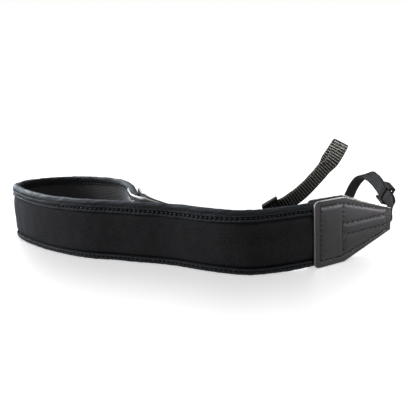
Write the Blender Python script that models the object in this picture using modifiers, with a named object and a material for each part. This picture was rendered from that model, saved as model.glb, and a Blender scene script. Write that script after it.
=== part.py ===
"""Camera neck strap: a padded neck band standing on its edge in a loop, with webbing ends.

Units are metres, +Z is up. The spine is the plan line that every strip follows: from the tip of
the near tab, along the padded band and round its bend, to the tip of the far tab. A place in a
strip is (length, n, z): the length along the spine, n out of the loop, and z up the band.
A webbing end follows a route of its own. A place in it is (along, w): w is off its flat face.
"""

import math
from collections import namedtuple

import bmesh
import bpy
import numpy as np
from mathutils import Matrix, Vector

PART_NAME = "camera_neck_strap"
GAP = 0.0003
SMOOTH_ANGLE = math.radians(40)

# The band is foam with a lining inside it, and tape folded over both of its long edges.
BAND_WIDTH = 0.0445
BAND_STEP = 0.0072
BAND_TURN = math.radians(11)
SPINE_SAMPLES = 1200
LINING_WALL = 0.0010
LINING_FACE = -0.0018
FOAM_BACK = LINING_FACE + LINING_WALL + 2 * GAP
TAPE_WALL = 0.0010
BEAD_RADIUS = 0.0031

# The foam's outer face: a row for each height, with how far the face stands out of the loop.
FoamRow = namedtuple("FoamRow", "z face")
FOAM_ROWS = (
    FoamRow(BAND_WIDTH - 0.0015, 0.0005),
    FoamRow(BAND_WIDTH - BEAD_RADIUS, 0.0014),
    FoamRow(0.0366, 0.0014),
    FoamRow(0.0350, 0.0022),
    FoamRow(0.0280, 0.0029),
    FoamRow(0.0140, 0.0029),
    FoamRow(0.0066, 0.0022),
    FoamRow(0.0050, 0.0014),
    FoamRow(BEAD_RADIUS, 0.0014),
    FoamRow(0.0015, 0.0005),
)

# The tape's outer face from its inner lip to its outer lip: how far out of the loop, and how far
# in from the band's edge. The sewn channel pinches it between the bead and the outer lip.
TapeRow = namedtuple("TapeRow", "face inset")
BEAD_SIDES = 5
UPPER_INNER_LIP = (TapeRow(-BEAD_RADIUS, 0.0060),)
UPPER_OUTER_LIP = (TapeRow(0.0028, 0.0052), TapeRow(BEAD_RADIUS, 0.0083))
LOWER_INNER_LIP = (TapeRow(-BEAD_RADIUS, 0.0060),)
LOWER_OUTER_LIP = (TapeRow(BEAD_RADIUS, 0.0048),)

# The leather tabs are pentagons of two plies, measured from the base towards the tip.
TAB_WIDTH = 0.0470
TAB_LENGTH = 0.0815
OUTER_PLY_STRAIGHT = 0.0285
INNER_PLY_STRAIGHT = 0.0345
TAB_TIP_WIDTH = 0.0170
TAB_CORNER = 0.0040
TAB_WALL = 0.0012
TAB_MIDDLE = BAND_WIDTH / 2
BAND_IN_TAB = 0.0210
WEBBING_IN_TAB = 0.0500
ROUTE_ROWS_IN_TAB = 6
ROUTE_ROW_FROM_TIP = 0.0020
PLY_ON_BAND = BEAD_RADIUS + GAP + TAB_WALL
PLY_SLOPE_START = 0.0270
TAB_PLACES = (0, 0.0012, 0.004, 0.010, 0.016, 0.022, 0.040, 0.046)
TAB_PLACES += (0.052, 0.058, 0.064, 0.070, 0.076, TAB_LENGTH)
TAB_ROWS = (1.0, 0.5, 0.0, -0.5, -1.0)

# The webbing is one layer from the tab, goes round the open lug loop and lies back on itself.
WEBBING_WIDTH = 0.0100
WEBBING_WALL = 0.0014
PLY_ON_WEBBING = WEBBING_WALL / 2 + 2 * GAP + TAB_WALL
LAYER = (WEBBING_WALL + GAP) / 2
LOOP_RADIUS = 0.0037
LOOP_TAPER = 0.0080
LOOP_LENGTH = 0.0220
LOOP_SIDES = 7
TAIL_PAST_SLIDER = 0.0160
TAIL_BLEND = 0.0060
PLAIN_STEP = 0.0045
WAVE_STEP = 0.0013
TANGENT_STEP = 0.0015

# The slider's three bars: the end bars lie over the webbing, and the middle bar lies under it.
BAR_PITCH = 0.0048
BAR_WIDTH = 0.0022
BAR_HEIGHT = 0.0014
WAVE = 0.0008
WAVE_FADE = 1.5 * BAR_PITCH
BAR_FACE = 0.0015
SLIDER_OPENING = 0.0110
SLIDER_SIDE = 0.0021
SLIDER_EDGE = 0.0003

# The spine in plan, before the shift to the origin: the lean out of the loop is in degrees, and
# the lift is what the wider tabs raise the band's lower edge by.
TAB_LIFT = (TAB_WIDTH - BAND_WIDTH) / 2
Station = namedtuple("Station", "x y lean lift")
SPINE = (
    Station(0.1401, 0.0578, -5, TAB_LIFT),
    Station(0.1172, 0.0432, -5, TAB_LIFT),
    Station(0.0943, 0.0286, -5, TAB_LIFT),
    Station(0.0714, 0.0140, -5, TAB_LIFT),
    Station(0.0560, 0.0073, -7, 0.0006),
    Station(0.0420, 0.0033, -6, 0),
    Station(0.0280, 0.0008, -2, 0),
    Station(0.0140, 0.0033, 0, 0),
    Station(-0.0010, 0.0089, 0, 0),
    Station(-0.0243, 0.0193, 0, 0),
    Station(-0.0483, 0.0255, 1, 0),
    Station(-0.0663, 0.0300, 1, 0),
    Station(-0.0880, 0.0350, 2, 0),
    Station(-0.1091, 0.0447, 4, 0),
    Station(-0.1262, 0.0562, 4, 0),
    Station(-0.1450, 0.0728, 2, 0),
    Station(-0.1565, 0.0895, 0, 0),
    Station(-0.1535, 0.1045, 0, 0),
    Station(-0.1422, 0.1150, 0, 0),
    Station(-0.1268, 0.1208, 0, 0),
    Station(-0.1130, 0.1228, 0, 0),
    Station(-0.0967, 0.1208, 0, 0),
    Station(-0.0793, 0.1128, 0, 0),
    Station(-0.0690, 0.1015, 0, 0),
    Station(-0.0640, 0.0890, 0, 0.0004),
    Station(-0.0602, 0.0760, 0, TAB_LIFT),
    Station(-0.0572, 0.0640, 0, TAB_LIFT),
    Station(-0.0538, 0.0500, 0, TAB_LIFT),
    Station(-0.0488, 0.0405, -2, TAB_LIFT),
    Station(-0.0405, 0.0348, -4, TAB_LIFT),
    Station(-0.0300, 0.0323, -4, TAB_LIFT),
    Station(-0.0150, 0.0310, -4, TAB_LIFT),
    Station(0.0050, 0.0305, -4, TAB_LIFT),
)
ORIGIN = Vector((-0.0050, 0.0897, 0))

# The free webbing from each tab's tip to the end of its loop: the roll is 0 on edge, 90 flat.
Route = namedtuple("Route", "x y z roll")
NEAR_ROUTE = (
    Route(0.1436, 0.0630, 0.0268, 0),
    Route(0.1450, 0.0695, 0.0318, 8),
    Route(0.1449, 0.0770, 0.0358, 15),
    Route(0.1440, 0.0850, 0.0386, 15),
    Route(0.1431, 0.0930, 0.0414, 15),
    Route(0.1418, 0.1025, 0.0450, 30),
    Route(0.1395, 0.1135, 0.0470, 60),
    Route(0.1365, 0.1250, 0.0430, 90),
    Route(0.1338, 0.1355, 0.0330, 90),
    Route(0.1315, 0.1440, 0.0190, 90),
    Route(0.1301, 0.1535, 0.0080, 90),
    Route(0.1296, 0.1640, 0.0044, 90),
    Route(0.1296, 0.1810, 0.0044, 90),
)
FAR_ROUTE = (
    Route(0.0130, 0.0300, 0.0250, 4),
    Route(0.0240, 0.0280, 0.0275, 4),
    Route(0.0350, 0.0235, 0.0325, 4),
    Route(0.0417, 0.0208, 0.0368, 4),
    Route(0.0480, 0.0195, 0.0410, 4),
    Route(0.0546, 0.0192, 0.0452, 4),
    Route(0.0630, 0.0203, 0.0512, 4),
    Route(0.0710, 0.0220, 0.0588, 4),
    Route(0.0772, 0.0238, 0.0655, 2),
    Route(0.0832, 0.0254, 0.0730, 0),
    Route(0.0872, 0.0260, 0.0795, 0),
    Route(0.0905, 0.0260, 0.0860, 0),
)
NEAR_SLIDER_AT = 0.0300
FAR_SLIDER_AT = 0.0470


def smooth_line(rows, per_span=24):
    """Points of a centripetal Catmull-Rom curve through the rows, spaced by their places."""
    rows = [np.array(row, float) for row in rows]
    rows = [2 * rows[0] - rows[1]] + rows + [2 * rows[-1] - rows[-2]]
    line = []
    for a, b, c, d in zip(rows, rows[1:], rows[2:], rows[3:]):
        t1 = math.dist(a[:2], b[:2]) ** 0.5
        t2 = t1 + math.dist(b[:2], c[:2]) ** 0.5
        t3 = t2 + math.dist(c[:2], d[:2]) ** 0.5
        for t in np.linspace(t1, t2, per_span, endpoint=False):
            ab = a + (b - a) * t / t1
            bc = b + (c - b) * (t - t1) / (t2 - t1)
            cd = c + (d - c) * (t - t2) / (t3 - t2)
            abc = ab + (bc - ab) * t / t2
            bcd = bc + (cd - bc) * (t - t1) / (t3 - t1)
            line.append(abc + (bcd - abc) * (t - t1) / (t2 - t1))
    line.append(rows[-2])
    return np.array(line)


def lengths_of(line, columns):
    """The length along a line at each of its points."""
    steps = np.linalg.norm(np.diff(line[:, :columns], axis=0), axis=1)
    return np.concatenate([[0], np.cumsum(steps)])


SPINE_LINE = smooth_line(SPINE)
SPINE_LENGTHS = lengths_of(SPINE_LINE, 2)
SPINE_LENGTH = SPINE_LENGTHS[-1]
SPINE_HEADINGS = np.unwrap(
    np.arctan2(np.gradient(SPINE_LINE[:, 1], SPINE_LENGTHS), np.gradient(SPINE_LINE[:, 0], SPINE_LENGTHS))
)


def place(length, n, z):
    """The point at a length along the spine, n out of the loop and z up the leaning band."""
    x, y, lean, lift = (np.interp(length, SPINE_LENGTHS, column) for column in SPINE_LINE.T)
    heading = np.interp(length, SPINE_LENGTHS, SPINE_HEADINGS)
    lean = math.radians(lean)
    tall = z - BEAD_RADIUS
    outward = n * math.cos(lean) + tall * math.sin(lean)
    height = BEAD_RADIUS + lift + tall * math.cos(lean) - n * math.sin(lean)
    return Vector((x - math.sin(heading) * outward, y + math.cos(heading) * outward, height)) - ORIGIN


def spine_places(start, end):
    """Lengths from start to end, closer together where the spine bends."""
    dense = np.linspace(start, end, SPINE_SAMPLES)
    headings = np.interp(dense, SPINE_LENGTHS, SPINE_HEADINGS)
    bend = np.abs(np.gradient(headings, dense))
    weight = np.maximum(1 / BAND_STEP, bend / BAND_TURN)
    count = np.concatenate([[0], np.cumsum((weight[1:] + weight[:-1]) / 2 * np.diff(dense))])
    return np.interp(np.linspace(0, count[-1], math.ceil(count[-1]) + 1), count, dense)


def material(name, colour, roughness, metallic=0.0):
    """A plain Principled material."""
    made = bpy.data.materials.new(name)
    made.use_nodes = True
    shader = made.node_tree.nodes["Principled BSDF"]
    shader.inputs["Base Color"].default_value = (*colour, 1)
    shader.inputs["Roughness"].default_value = roughness
    shader.inputs["Metallic"].default_value = metallic
    made.diffuse_color = (*colour, 1)
    return made


def add_object(name, mesh, finish, collection):
    """A new object of the mesh in the collection, with its material."""
    made = bpy.data.objects.new(name, mesh)
    if finish:
        mesh.materials.append(finish)
    collection.objects.link(made)
    return made


def sheet(name, rows, columns, point, finish, collection):
    """An open grid of rows by columns, each vertex put at point(row, column)."""
    grid = bmesh.new()
    bmesh.ops.create_grid(grid, x_segments=columns - 1, y_segments=rows - 1, size=0.5)
    for vertex in grid.verts:
        column = round((vertex.co.x + 0.5) * (columns - 1))
        row = round((vertex.co.y + 0.5) * (rows - 1))
        vertex.co = point(row, column)
    mesh = bpy.data.meshes.new(name)
    grid.to_mesh(mesh)
    grid.free()
    return add_object(name, mesh, finish, collection)


def thicken(thing, thickness, offset=-1.0, group=None):
    """Give a sheet its wall, and press what would dip under the floor flat on it."""
    wall = thing.modifiers.new("wall", "SOLIDIFY")
    wall.thickness = thickness
    wall.offset = offset
    wall.use_even_offset = True
    if group:
        wall.vertex_group = group
    graph = bpy.context.evaluated_depsgraph_get()
    mesh = bpy.data.meshes.new_from_object(thing.evaluated_get(graph))
    thing.modifiers.clear()
    thing.vertex_groups.clear()
    thing.data = mesh
    for vertex in mesh.vertices:
        vertex.co.z = max(vertex.co.z, 0)
    mesh.shade_smooth()
    mesh.set_sharp_from_angle(angle=SMOOTH_ANGLE)
    return thing


def build_foam(places, finish, collection):
    """The foam: its crowned outer face, thickened back to the lining."""

    def point(row, column):
        return place(places[column], FOAM_ROWS[row].face, FOAM_ROWS[row].z)

    foam = sheet("pad", len(FOAM_ROWS), len(places), point, finish, collection)
    deepest = max(row.face for row in FOAM_ROWS) - FOAM_BACK
    depth = foam.vertex_groups.new(name="depth")
    for index in range(len(foam.data.vertices)):
        row = FOAM_ROWS[index // len(places)]
        depth.add([index], (row.face - FOAM_BACK) / deepest, "REPLACE")
    return thicken(foam, deepest, group="depth")


def build_lining(places, finish, collection):
    """The lining's inner face, thickened outwards to the foam."""
    heights = (BEAD_RADIUS, BAND_WIDTH / 2, BAND_WIDTH - BEAD_RADIUS)

    def point(row, column):
        return place(places[column], LINING_FACE, heights[row])

    lining = sheet("lining", len(heights), len(places), point, finish, collection)
    return thicken(lining, LINING_WALL)


def tape_profile(inner_lip, outer_lip):
    """The tape's outer face from lip to lip, with the bead's arc between them."""
    corner = math.pi / BEAD_SIDES / 2
    flat = BEAD_RADIUS * math.cos(corner)
    arc = []
    for step in range(BEAD_SIDES + 1):
        angle = math.pi * step / BEAD_SIDES
        arc.append(TapeRow(-BEAD_RADIUS * math.cos(angle), flat - BEAD_RADIUS * math.sin(angle)))
    return tuple(reversed(inner_lip)) + tuple(arc) + tuple(outer_lip)


def build_tape(name, places, profile, on_top, finish, collection):
    """The tape folded over one edge of the band."""
    rows = profile if on_top else tuple(reversed(profile))

    def point(row, column):
        inset = rows[row].inset
        return place(places[column], rows[row].face, BAND_WIDTH - inset if on_top else inset)

    tape = sheet(name, len(rows), len(places), point, finish, collection)
    return thicken(tape, TAPE_WALL)


def ease(value, start, end):
    """0 before start, 1 after end, and smooth between them."""
    share = min(max((value - start) / (end - start), 0), 1)
    return share * share * (3 - 2 * share)


def tab_half_width(u, straight):
    """Half a ply's width at u from its base: rounded base corners, straight, then narrowing."""
    narrowing = max(u - straight, 0) / (TAB_LENGTH - straight)
    half = TAB_WIDTH / 2 - narrowing * (TAB_WIDTH - TAB_TIP_WIDTH) / 2
    corner = max(TAB_CORNER - u, 0)
    return half - (TAB_CORNER - math.sqrt(TAB_CORNER**2 - corner**2))


def build_ply(name, length_of, side, finish, collection):
    """One leather ply: it stands off the bound band, then comes down on the webbing."""
    rows = TAB_ROWS if side > 0 else tuple(reversed(TAB_ROWS))
    straight = OUTER_PLY_STRAIGHT if side > 0 else INNER_PLY_STRAIGHT
    places = sorted((*TAB_PLACES, straight), key=length_of)

    def point(row, column):
        u = places[column]
        slope = max(u - PLY_SLOPE_START, 0) / (TAB_LENGTH - PLY_SLOPE_START)
        off = PLY_ON_BAND + (PLY_ON_WEBBING - PLY_ON_BAND) * slope
        return place(length_of(u), side * off, TAB_MIDDLE + rows[row] * tab_half_width(u, straight))

    ply = sheet(name, len(rows), len(places), point, finish, collection)
    return thicken(ply, TAB_WALL)


class WebbingRoute:
    """The middle line of one webbing end, from inside its tab to the end of its lug loop."""

    def __init__(self, inside, free, slider_at):
        self.line = smooth_line(list(inside) + list(free))
        self.lengths = lengths_of(self.line, 3)
        self.total = self.lengths[-1]
        self.slider = WEBBING_IN_TAB + slider_at
        self.tail = self.slider - TAIL_PAST_SLIDER
        self.centre = self.total - LOOP_RADIUS

    def frame(self, along):
        """The place, and the directions along the webbing, across it and off its face."""
        x, y, z, roll = (np.interp(along, self.lengths, column) for column in self.line.T)
        ahead = [np.interp(along + TANGENT_STEP, self.lengths, self.line[:, i]) for i in range(3)]
        behind = [np.interp(along - TANGENT_STEP, self.lengths, self.line[:, i]) for i in range(3)]
        tangent = (Vector(ahead) - Vector(behind)).normalized()
        upright = (Vector((0, 0, 1)) - tangent * tangent.z).normalized()
        turn = math.radians(roll)
        across = upright * math.cos(turn) + tangent.cross(upright) * math.sin(turn)
        return Vector((x, y, z)), tangent, across, tangent.cross(across)

    def wave(self, along):
        """How far the slider's bars push the webbing off its middle line, and the slope there."""
        off = abs(along - self.slider)
        sign = 1 if along > self.slider else -1
        if off <= BAR_PITCH:
            turn = math.pi / BAR_PITCH
            return WAVE * math.cos(off * turn), -sign * WAVE * turn * math.sin(off * turn)
        if off <= BAR_PITCH + WAVE_FADE:
            turn = math.pi / WAVE_FADE
            late = off - BAR_PITCH
            value = -WAVE * (1 + math.cos(late * turn)) / 2
            return value, sign * WAVE * turn * math.sin(late * turn) / 2
        return 0, 0

    def layer(self, along, side):
        """The (along, w) place of the outgoing layer, side -1, or of the returning one, side 1."""
        push, slope = self.wave(along)
        loop_start = self.total - LOOP_LENGTH
        off = LAYER + (LOOP_RADIUS - LAYER) * ease(along, loop_start, loop_start + LOOP_TAPER)
        if side < 0:
            off *= ease(along, self.tail - 2 * TAIL_BLEND, self.tail - TAIL_BLEND)
        tilt = math.atan(slope)
        return along - side * off * math.sin(tilt), push + side * off * math.cos(tilt)

    def places(self, start):
        """Lengths from start to the loop's round end, close together in the slider."""
        found = [start]
        while found[-1] < self.centre - PLAIN_STEP / 2:
            near = abs(found[-1] - self.slider) < BAR_PITCH + WAVE_FADE
            found.append(min(found[-1] + (WAVE_STEP if near else PLAIN_STEP), self.centre))
        return found

    def profile(self):
        """The webbing's (along, w) places from the tab, round the loop and back to its tail."""
        out = [self.layer(along, -1) for along in self.places(0)]
        back = [self.layer(along, 1) for along in self.places(self.tail)]
        loop = []
        for step in range(1, LOOP_SIDES):
            angle = math.pi * step / LOOP_SIDES
            round_place = self.centre + LOOP_RADIUS * math.sin(angle)
            loop.append((round_place, -LOOP_RADIUS * math.cos(angle)))
        return out + loop + list(reversed(back))

    def point(self, along, w, across):
        """The point of the webbing at (along, w), across its width from its middle."""
        middle, _, wide, off = self.frame(along)
        return middle + wide * across + off * w - ORIGIN


def inside_tab(length, side):
    """A route row in the middle of a tab: side says which way the webbing runs along the spine."""
    point = place(length, 0, TAB_MIDDLE) + ORIGIN
    lean = np.interp(length, SPINE_LENGTHS, SPINE_LINE[:, 2])
    return Route(*point, side * lean)


def build_webbing(name, route, finish, collection):
    """One webbing end as a ribbon round its loop."""
    profile = route.profile()
    edges = (-WEBBING_WIDTH / 2, WEBBING_WIDTH / 2)

    def point(row, column):
        return route.point(*profile[column], edges[row])

    ribbon = sheet(name, len(edges), len(profile), point, finish, collection)
    return thicken(ribbon, WEBBING_WALL, offset=0)


def box(name, low, high, collection):
    """A plain box between two corners."""
    cube = bmesh.new()
    bmesh.ops.create_cube(cube, size=1)
    for vertex in cube.verts:
        vertex.co = Vector(high[i] if vertex.co[i] > 0 else low[i] for i in range(3))
    mesh = bpy.data.meshes.new(name)
    cube.to_mesh(mesh)
    cube.free()
    return add_object(name, mesh, None, collection)


def build_slider(name, route, finish, collection, guides):
    """The slider: two sides joined by three bars, with the webbing woven through them."""
    half_length = BAR_PITCH + BAR_WIDTH / 2
    inner = SLIDER_OPENING / 2
    outer = inner + SLIDER_SIDE
    top = BAR_FACE + BAR_HEIGHT
    slider = box(name, (-half_length, inner, -top), (half_length, outer, top), collection)
    slider.data.materials.append(finish)
    pieces = [box(name + "_side", (-half_length, -outer, -top), (half_length, -inner, top), guides)]
    for number, middle in enumerate((-BAR_PITCH, 0, BAR_PITCH)):
        low, high = (-top, -BAR_FACE) if middle == 0 else (BAR_FACE, top)
        reach = inner + SLIDER_SIDE / 2
        start = (middle - BAR_WIDTH / 2, -reach, low)
        end = (middle + BAR_WIDTH / 2, reach, high)
        pieces.append(box(f"{name}_bar_{number}", start, end, guides))
    middle, along, across, off = route.frame(route.slider)
    turned = Matrix((along, across, off)).transposed().to_4x4()
    slider.matrix_world = Matrix.Translation(middle - ORIGIN) @ turned
    for piece in pieces:
        piece.matrix_world = slider.matrix_world
        piece.hide_render = True
        piece.display_type = "WIRE"
        join = slider.modifiers.new("join", "BOOLEAN")
        join.operation = "UNION"
        join.object = piece
    edges = slider.modifiers.new("edges", "BEVEL")
    edges.width = SLIDER_EDGE
    edges.segments = 1
    return slider


def build_strap():
    """Clear the scene and build the strap."""
    for old in list(bpy.data.objects):
        bpy.data.objects.remove(old)
    strap = bpy.data.collections.new(PART_NAME)
    guides = bpy.data.collections.new("guides")
    bpy.context.scene.collection.children.link(strap)
    bpy.context.scene.collection.children.link(guides)

    foam = material("foam", (0.014, 0.014, 0.016), 0.85)
    ribbed = material("ribbed_lining", (0.018, 0.018, 0.020), 0.6)
    tape = material("binding_tape", (0.035, 0.045, 0.060), 0.6)
    leather = material("leather", (0.070, 0.066, 0.070), 0.45)
    webbing = material("webbing", (0.012, 0.012, 0.013), 0.7)
    plastic = material("slider_plastic", (0.010, 0.010, 0.011), 0.35)

    band_start = TAB_LENGTH - BAND_IN_TAB
    places = spine_places(band_start, SPINE_LENGTH - band_start)
    build_foam(places, foam, strap)
    build_lining(places, ribbed, strap)
    upper = tape_profile(UPPER_INNER_LIP, UPPER_OUTER_LIP)
    lower = tape_profile(LOWER_INNER_LIP, LOWER_OUTER_LIP)
    build_tape("binding_upper", places, upper, True, tape, strap)
    build_tape("binding_lower", places, lower, False, tape, strap)

    def near_length(u):
        return TAB_LENGTH - u

    def far_length(u):
        return SPINE_LENGTH - TAB_LENGTH + u

    ends = (
        ("near", near_length, 1, NEAR_ROUTE, NEAR_SLIDER_AT),
        ("far", far_length, -1, FAR_ROUTE, FAR_SLIDER_AT),
    )
    for end, length_of, side, free, slider_at in ends:
        build_ply(end + "_tab_outer_ply", length_of, 1, leather, strap)
        build_ply(end + "_tab_inner_ply", length_of, -1, leather, strap)
        first = TAB_LENGTH - WEBBING_IN_TAB
        starts = np.linspace(first, TAB_LENGTH - ROUTE_ROW_FROM_TIP, ROUTE_ROWS_IN_TAB)
        inside = [inside_tab(length_of(u), side) for u in starts]
        route = WebbingRoute(inside, free, slider_at)
        build_webbing(end + "_webbing", route, webbing, strap)
        build_slider(end + "_slider", route, plastic, strap, guides)


build_strap()
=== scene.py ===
"""The looks of the camera neck strap: detailed pieces built along the spine and routes of its solids.

Units are metres, +Z is up. A place in a strip is (length, n, z): the length along the spine, n out
of the loop, and z up the band. Each strip is a slab: a grid of points for its face and one for its
back, rings along it and places across it.
"""

import math
from collections import namedtuple

import bpy
import numpy as np
from mathutils import Matrix, Vector


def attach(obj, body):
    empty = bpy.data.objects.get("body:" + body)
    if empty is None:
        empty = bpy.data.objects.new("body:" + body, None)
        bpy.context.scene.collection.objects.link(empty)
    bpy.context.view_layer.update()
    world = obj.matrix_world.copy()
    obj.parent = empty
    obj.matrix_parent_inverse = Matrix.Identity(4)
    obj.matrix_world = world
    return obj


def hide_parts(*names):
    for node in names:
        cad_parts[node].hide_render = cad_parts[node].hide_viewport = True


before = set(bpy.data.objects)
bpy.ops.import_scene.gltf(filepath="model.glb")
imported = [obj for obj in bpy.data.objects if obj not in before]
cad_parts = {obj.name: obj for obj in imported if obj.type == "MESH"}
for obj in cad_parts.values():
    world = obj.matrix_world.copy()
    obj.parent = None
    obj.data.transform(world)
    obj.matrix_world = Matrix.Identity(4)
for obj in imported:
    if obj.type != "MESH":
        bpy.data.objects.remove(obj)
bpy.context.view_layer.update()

# Sizes that the solids have too.
GAP = 0.0003
BAND_WIDTH = 0.0445
BEAD_RADIUS = 0.0031
LINING_WALL = 0.0010
LINING_FACE = -0.0018
FOAM_BACK = LINING_FACE + LINING_WALL + GAP
TAB_WIDTH = 0.0470
TAB_LENGTH = 0.0815
OUTER_PLY_STRAIGHT = 0.0285
INNER_PLY_STRAIGHT = 0.0345
TAB_TIP_WIDTH = 0.0170
TAB_CORNER = 0.0040
TAB_WALL = 0.0012
TAB_MIDDLE = BAND_WIDTH / 2
TAB_LIFT = (TAB_WIDTH - BAND_WIDTH) / 2
BAND_IN_TAB = 0.0210
WEBBING_IN_TAB = 0.0500
ROUTE_ROWS_IN_TAB = 6
ROUTE_ROW_FROM_TIP = 0.0020
WEBBING_WIDTH = 0.0100
WEBBING_WALL = 0.0014
PLY_ON_BAND = BEAD_RADIUS + GAP + TAB_WALL
PLY_ON_WEBBING = WEBBING_WALL / 2 + 2 * GAP + TAB_WALL
PLY_SLOPE_START = 0.0270
LAYER = (WEBBING_WALL + GAP) / 2
LOOP_RADIUS = 0.0037
LOOP_TAPER = 0.0080
LOOP_LENGTH = 0.0220
TAIL_PAST_SLIDER = 0.0160
TAIL_BLEND = 0.0060
TANGENT_STEP = 0.0015
BAR_PITCH = 0.0048
BAR_WIDTH = 0.0022
BAR_HEIGHT = 0.0014
WAVE = 0.0008
WAVE_FADE = 1.5 * BAR_PITCH
BAR_FACE = 0.0015
SLIDER_OPENING = 0.0110
SLIDER_SIDE = 0.0021
SLIDER_EDGE = 0.0005

# The least height of any point.
FLOOR_CLEAR = 0.00002

# The spine in plan, before the shift to the origin: x, y, the lean out in degrees, and the lift.
SPINE = (
    (0.1401, 0.0578, -5, TAB_LIFT),
    (0.1172, 0.0432, -5, TAB_LIFT),
    (0.0943, 0.0286, -5, TAB_LIFT),
    (0.0714, 0.0140, -5, TAB_LIFT),
    (0.0560, 0.0073, -7, 0.0006),
    (0.0420, 0.0033, -6, 0),
    (0.0280, 0.0008, -2, 0),
    (0.0140, 0.0033, 0, 0),
    (-0.0010, 0.0089, 0, 0),
    (-0.0243, 0.0193, 0, 0),
    (-0.0483, 0.0255, 1, 0),
    (-0.0663, 0.0300, 1, 0),
    (-0.0880, 0.0350, 2, 0),
    (-0.1091, 0.0447, 4, 0),
    (-0.1262, 0.0562, 4, 0),
    (-0.1450, 0.0728, 2, 0),
    (-0.1565, 0.0895, 0, 0),
    (-0.1535, 0.1045, 0, 0),
    (-0.1422, 0.1150, 0, 0),
    (-0.1268, 0.1208, 0, 0),
    (-0.1130, 0.1228, 0, 0),
    (-0.0967, 0.1208, 0, 0),
    (-0.0793, 0.1128, 0, 0),
    (-0.0690, 0.1015, 0, 0),
    (-0.0640, 0.0890, 0, 0.0004),
    (-0.0602, 0.0760, 0, TAB_LIFT),
    (-0.0572, 0.0640, 0, TAB_LIFT),
    (-0.0538, 0.0500, 0, TAB_LIFT),
    (-0.0488, 0.0405, -2, TAB_LIFT),
    (-0.0405, 0.0348, -4, TAB_LIFT),
    (-0.0300, 0.0323, -4, TAB_LIFT),
    (-0.0150, 0.0310, -4, TAB_LIFT),
    (0.0050, 0.0305, -4, TAB_LIFT),
)
ORIGIN = np.array([-0.0050, 0.0897, 0])

# The free webbing from each tab's tip to the end of its loop: x, y, z, and the roll, 90 where flat.
NEAR_ROUTE = (
    (0.1436, 0.0630, 0.0268, 0),
    (0.1450, 0.0695, 0.0318, 8),
    (0.1449, 0.0770, 0.0358, 15),
    (0.1440, 0.0850, 0.0386, 15),
    (0.1431, 0.0930, 0.0414, 15),
    (0.1418, 0.1025, 0.0450, 30),
    (0.1395, 0.1135, 0.0470, 60),
    (0.1365, 0.1250, 0.0430, 90),
    (0.1338, 0.1355, 0.0330, 90),
    (0.1315, 0.1440, 0.0190, 90),
    (0.1301, 0.1535, 0.0080, 90),
    (0.1296, 0.1640, 0.0044, 90),
    (0.1296, 0.1810, 0.0044, 90),
)
FAR_ROUTE = (
    (0.0130, 0.0300, 0.0250, 4),
    (0.0240, 0.0280, 0.0275, 4),
    (0.0350, 0.0235, 0.0325, 4),
    (0.0417, 0.0208, 0.0368, 4),
    (0.0480, 0.0195, 0.0410, 4),
    (0.0546, 0.0192, 0.0452, 4),
    (0.0630, 0.0203, 0.0512, 4),
    (0.0710, 0.0220, 0.0588, 4),
    (0.0772, 0.0238, 0.0655, 2),
    (0.0832, 0.0254, 0.0730, 0),
    (0.0872, 0.0260, 0.0795, 0),
    (0.0905, 0.0260, 0.0860, 0),
)
NEAR_SLIDER_AT = 0.0300
FAR_SLIDER_AT = 0.0470

# How finely the pieces are built.
PAD_STEP = 0.0012
LINING_STEP = 0.0024
TAPE_STEP = 0.0006
PLY_STEP = 0.00055
RIB_SAMPLES = 7

# The foam's outer face: its height, how far out it stands, and how strongly the sewing draws it in.
FOAM_ROWS = (
    (0.0015, 0.0006, 0),
    (0.0031, 0.0013, 0),
    (0.0046, 0.0012, 0),
    (0.0051, 0.0010, 0.3),
    (0.0057, 0.0014, 1),
    (0.0066, 0.0023, 0.8),
    (0.0080, 0.0026, 0.4),
    (0.0105, 0.00285, 0.1),
    (0.0160, 0.0030, 0),
    (0.0260, 0.0030, 0),
    (0.0305, 0.00285, 0.1),
    (0.0330, 0.0026, 0.4),
    (0.0348, 0.0022, 0.9),
    (0.0358, 0.0017, 1),
    (0.0366, 0.0014, 0),
    (0.0414, 0.0013, 0),
    (0.0430, 0.0006, 0),
)
FOAM_PUCKER = 0.00022
FOAM_RIPPLE = 0.00016
OPEN_FACE_STARTS = (0.006, 0.012)
OPEN_FACE_ENDS = (0.030, 0.036)

# The painted shade in the fold between the foam and the lower tape: its height up the band and its width.
FOAM_FOLD = 0.0052
FOAM_FOLD_WIDTH = 0.0007

# The lining's lengthwise ribs.
RIB_PITCH = 0.00135
RIB_HEIGHT = 0.00022
LINING_SLACK = 0.00012

# The tape folded over each edge: its wall, its relief, its painted shade and its painted highlight.
TAPE_WALL = 0.00055
TAPE_PUCKER = 0.00034
TAPE_RIPPLE = 0.00013
ARC_STEPS = 10
INNER_SHADE = 0.85
INNER_SHADE_REACH = (0.0004, 0.0026)
RAISED_FACE = (0.0029, 0.0033)
RAISED_INSET = 0.0032

# The tape from lip to lip: its face, its inset from the edge, and how strongly stitches gather it.
INNER_LIP = (
    (-0.00290, 0.0064, 0.1),
    (-0.00305, 0.0060, 0.3),
    (-0.00285, 0.0053, 0.9),
    (-0.00270, 0.0048, 1),
    (-0.00300, 0.0041, 0.5),
)
UPPER_OUTER_LIP = (
    (0.00296, 0.0034, 0.1),
    (0.00318, 0.0040, 0.2),
    (0.00322, 0.0045, 0.35),
    (0.00270, 0.0050, 0.8),
    (0.00195, 0.0054, 1),
    (0.00180, 0.0060, 1),
    (0.00205, 0.0064, 1),
    (0.00285, 0.0067, 0.6),
    (0.00328, 0.0072, 0.25),
    (0.00325, 0.0079, 0.15),
    (0.00285, 0.0084, 0.05),
)
LOWER_OUTER_LIP = (
    (0.00250, 0.0027, 0.9),
    (0.00262, 0.0031, 0.8),
    (0.00298, 0.0035, 0.3),
    (0.00302, 0.0042, 0.1),
    (0.00270, 0.0046, 0),
)

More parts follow.
